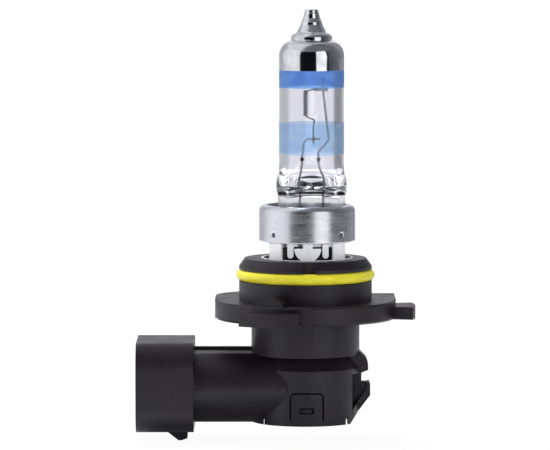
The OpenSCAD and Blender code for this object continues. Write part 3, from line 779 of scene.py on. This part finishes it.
@dataclass
class RingMount:
    """The turned ring, its weld spots, the four-legged holder and the clip."""

    finishes: Finishes
    spot_angles: tuple[int, ...] = (45, 135, 225, 315)
    edge_r: float = 0.95
    sheet: float = 0.35
    mouth_r: float = 6.38
    dimple: float = 0.11
    sheet_edge: float = 0.06

    def build_ring(self) -> Piece:
        """Makes the ring: a turned wall with a rounded top edge, with a shallow round dimple at each weld."""
        low, high = corner_mm("retaining_ring")
        spots = corner_mm("ring_weld_spots")
        axis_x, r = (low[0] + high[0]) / 2, (high[0] - low[0]) / 2
        spot_z = (spots[0][2] + spots[1][2]) / 2
        base, top = low[2], high[2]
        a = np.radians(np.linspace(0, 90, 12))
        wall_z = np.concatenate([[base + 0.04], np.linspace(base + 0.1, top - self.edge_r - 0.05, 46)])
        wall = np.stack([np.full(len(wall_z), r), wall_z], axis=-1)
        wall[0, 0] -= 0.05
        rim = np.stack([r - self.edge_r * (1 - np.cos(a)), top - self.edge_r * (1 - np.sin(a))], axis=-1)
        inner = self.edge_r - self.sheet
        turn = np.stack([r - self.edge_r + inner * np.cos(a[::-1]),
                         top - self.edge_r + inner * np.sin(a[::-1])], axis=-1)
        lip = np.array([[self.mouth_r + 0.08, top], [self.mouth_r, top - 0.08],
                        [self.mouth_r, top - self.sheet + 0.08], [self.mouth_r + 0.08, top - self.sheet]])
        inside = np.array([[r - self.sheet, base + 0.05], [r - self.sheet + 0.06, base], [r - 0.12, base]])
        profile = np.vstack([wall, rim, lip, turn, inside])
        steps = 480
        t = np.linspace(0, 2 * np.pi, steps, endpoint=False)
        push = np.zeros((len(profile), steps))
        groove = np.exp(-((wall_z - (base + 3.3)) / 0.15) ** 2) * 0.008
        push[:len(wall_z)] -= groove[:, None]
        for angle in np.radians(self.spot_angles):
            across = (np.mod(t - angle + np.pi, 2 * np.pi) - np.pi) * r
            away = np.hypot(across[None, :], wall_z[:, None] - spot_z)
            push[:len(wall_z)] -= self.dimple * (1 - smoothstep(away, 0.36, 0.52))
        piece = turned("ring_turned", profile, axis_x, steps, ring=True, push=push)
        sharpen(piece, 40)
        return dress(piece, "retaining_ring", self.finishes.ring)

    def build(self) -> list[Piece]:
        """Builds the ring, the spots, the holder and the clip."""
        metals = self.finishes
        plain = (("ring_weld_spots", metals.spot), ("ring_holder", metals.stamped),
                 ("capsule_clip", metals.stamped))
        return [self.build_ring(), *[dress(softened(node, node + "_part", self.sheet_edge), node, material)
                                     for node, material in plain]]


# ---------------------------------------------------------------- base


@dataclass
class Base:
    """The moulded base, its cover, its seal ring and its terminals."""

    finishes: Finishes
    seal_d: float = 1.78

    def build_seal(self) -> Piece:
        """Makes the seal ring: a torus whose inner side is pressed flat by the groove."""
        low, high = corner_mm("seal_ring")
        out_r, mid_z = (high[0] - low[0]) / 2, (low[2] + high[2]) / 2
        a = np.linspace(0, 2 * np.pi, 40, endpoint=False)
        half = self.seal_d / 2
        section = np.stack([out_r - half + half * np.cos(a), mid_z + half * np.sin(a)], axis=-1)
        section[:, 0] = np.maximum(section[:, 0], out_r - self.seal_d + 0.06)
        torus = turned("seal_ring_moulded", section, 0.0, 200, ring=True)
        return dress(torus, "seal_ring", self.finishes.rubber)

    def build(self) -> list[Piece]:
        """Builds the base, the cover, the seal ring, the terminals and the welds."""
        f = self.finishes
        plain = (("base_housing", 0.18, f.base), ("bottom_cover", 0.12, f.cover),
                 ("front_terminal", 0.08, f.tin), ("rear_terminal", 0.08, f.tin),
                 ("lead_welds", 0.08, f.weld))
        return [self.build_seal(), *[dress(softened(node, node + "_part", edge), node, material)
                                     for node, edge, material in plain]]


# ---------------------------------------------------------------- studio


class Side(Enum):
    """Where a soft light stands, by its direction from the object: across, towards the front, and up."""

    TOP = (-0.15, 0.25, 1.0)
    BACK_LEFT = (-0.8, 0.7, 0.5)
    RIGHT = (1.0, -0.35, 0.25)
    FRONT = (-0.2, -1.0, 0.05)


@dataclass
class Studio:
    """A pale floor, a white surround with darker stretches towards the camera, soft lights and the camera."""

    distance: float = 700.0
    aim: tuple[float, float] = (-4.9, 12.0)
    eye_z: float = 66.0
    scale: float = 6.22
    frame_px: int = 550
    sensor: float = 36.0
    light_away: float = 450.0
    floor_half: float = 150.0

    def build_camera(self) -> None:
        """Places the camera, a little above the middle and looking slightly down."""
        data = bpy.data.cameras.new("camera")
        eye = Vector((self.aim[0], -self.distance, self.eye_z))
        target = Vector((self.aim[0], 0.0, self.aim[1]))
        reach = (target - eye).length
        data.sensor_width = self.sensor
        data.lens = self.sensor * reach / (self.frame_px / self.scale)
        data.clip_start, data.clip_end = 0.01, 20.0
        camera = bpy.data.objects.new("camera", data)
        camera.location = eye * MM
        camera.rotation_euler = (target - eye).to_track_quat("-Z", "Y").to_euler()
        bpy.context.scene.collection.objects.link(camera)
        bpy.context.scene.camera = camera

    def build_surround(self) -> None:
        """Makes the surround: its brightness follows the compass, and the camera sees it white."""
        world = bpy.data.worlds.new("studio")
        world.use_nodes = True
        bpy.context.scene.world = world
        tree = world.node_tree
        tree.nodes.clear()
        ray = add_node(tree, "ShaderNodeTexCoord").outputs["Generated"]
        parts = add_node(tree, "ShaderNodeSeparateXYZ", {"Vector": ray})
        back = add_node(tree, "ShaderNodeMath", {0: parts.outputs["Y"]}, {1: -1.0}, operation="MULTIPLY")
        turn = add_node(tree, "ShaderNodeMath", {0: parts.outputs["X"], 1: back.outputs[0]},
                        operation="ARCTAN2")
        share = add_node(tree, "ShaderNodeMapRange", {"Value": turn.outputs[0]},
                         {"From Min": -math.pi, "From Max": math.pi})
        around = ramp(tree, share.outputs[0], [
            (0.0, "d4d3d7"), (0.035, "d4d3d7"), (0.06, "b6b6bb"), (0.13, "a6a6ac"), (0.18, "d0d0d4"),
            (0.25, "ececef"), (0.375, "d8d8dc"), (0.388, "0e0f12"), (0.543, "0e0f12"), (0.551, "ffffff"),
            (0.648, "ffffff"), (0.655, "131418"), (0.668, "131418"), (0.68, "4a4b51"), (0.8, "66676d"),
            (0.86, "88888e"), (0.94, "83838a"), (0.965, "d4d3d7"), (1.0, "d4d3d7")])
        over = ramp(tree, share.outputs[0], [
            (0.0, "a9aaae"), (0.2, "e2e2e6"), (0.36, "d0d0d4"), (0.42, "77797e"), (0.6, "66686d"),
            (0.8, "5d5f64"), (1.0, "a9aaae")])
        climb = add_node(tree, "ShaderNodeMapRange", {"Value": parts.outputs["Z"]},
                         {"From Min": 0.5, "From Max": 0.6}, interpolation_type="SMOOTHSTEP")
        sky = add_node(tree, "ShaderNodeMixRGB", {"Fac": climb.outputs[0], "Color1": around.outputs[0],
                                                  "Color2": over.outputs[0]})
        seen = add_node(tree, "ShaderNodeLightPath").outputs["Is Camera Ray"]
        lit = add_node(tree, "ShaderNodeBackground", {"Color": sky.outputs[0]}, {"Strength": 1.2})
        plain = add_node(tree, "ShaderNodeBackground", values={"Color": (1, 1, 1, 1), "Strength": 1.05})
        both = add_node(tree, "ShaderNodeMixShader", {0: seen, 1: lit.outputs[0], 2: plain.outputs[0]})
        add_node(tree, "ShaderNodeOutputWorld", {"Surface": both.outputs[0]})

    def build_floor(self) -> None:
        """Lays a pale floor just under the lowest piece, with a light of its own so that it stays white."""
        low = min(corner_mm(node)[0][2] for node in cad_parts)
        half = self.floor_half
        mesh = bpy.data.meshes.new("floor")
        corners = [(-half, -half), (half, -half), (half, half), (-half, half)]
        mesh.from_pydata([(x * MM, y * MM, (low - 0.02) * MM) for x, y in corners], [], [(0, 1, 2, 3)])
        floor = bpy.data.objects.new("floor", mesh)
        bpy.context.scene.collection.objects.link(floor)
        material = bpy.data.materials.new("pale_floor")
        material.use_nodes = True
        tree = material.node_tree
        shader = tree.nodes["Principled BSDF"]
        shader.inputs["Base Color"].default_value = (0.85, 0.85, 0.86, 1)
        shader.inputs["Roughness"].default_value = 0.9
        shader.inputs["Specular IOR Level"].default_value = 0.0
        glow = add_node(tree, "ShaderNodeEmission", values={"Strength": 1.02})
        seen = add_node(tree, "ShaderNodeLightPath").outputs["Is Camera Ray"]
        share = add_node(tree, "ShaderNodeMath", {0: seen}, {1: 0.93}, operation="MULTIPLY")
        both = add_node(tree, "ShaderNodeMixShader",
                        {0: share.outputs[0], 1: shader.outputs[0], 2: glow.outputs[0]})
        output = next(node for node in tree.nodes if node.type == "OUTPUT_MATERIAL")
        tree.links.new(both.outputs[0], output.inputs["Surface"])
        mesh.materials.append(material)

    def build_lights(self) -> None:
        """Hangs the soft lights round the object."""
        middle = Vector((self.aim[0], 0, self.aim[1])) * MM
        for side, size, power in ((Side.TOP, 260.0, 1.6), (Side.BACK_LEFT, 240.0, 1.2),
                                  (Side.RIGHT, 160.0, 0.5), (Side.FRONT, 200.0, 0.5)):
            data = bpy.data.lights.new("soft_" + side.name.lower(), "AREA")
            data.size = size * MM
            data.energy = power
            light = bpy.data.objects.new(data.name, data)
            away = Vector(side.value).normalized()
            light.location = middle + away * self.light_away * MM
            light.rotation_euler = away.to_track_quat("Z", "Y").to_euler()
            light.visible_glossy = False
            bpy.context.scene.collection.objects.link(light)

    def build(self) -> None:
        """Builds the studio and asks for plain colours, without a film look."""
        self.build_camera()
        self.build_surround()
        self.build_floor()
        self.build_lights()
        bpy.context.scene.view_settings.view_transform = "Standard"


def main() -> None:
    """Builds the studio and every sub-assembly, and reports each piece."""
    logging.basicConfig(level=logging.INFO, format="%(name)s %(message)s")
    Studio().build()
    finishes = Finishes()
    for assembly in (Capsule(finishes), RingMount(finishes), Base(finishes)):
        pieces = assembly.build()
        LOG.info("%s: %d pieces", type(assembly).__name__, len(pieces))


if __name__ == "__main__":
    main()
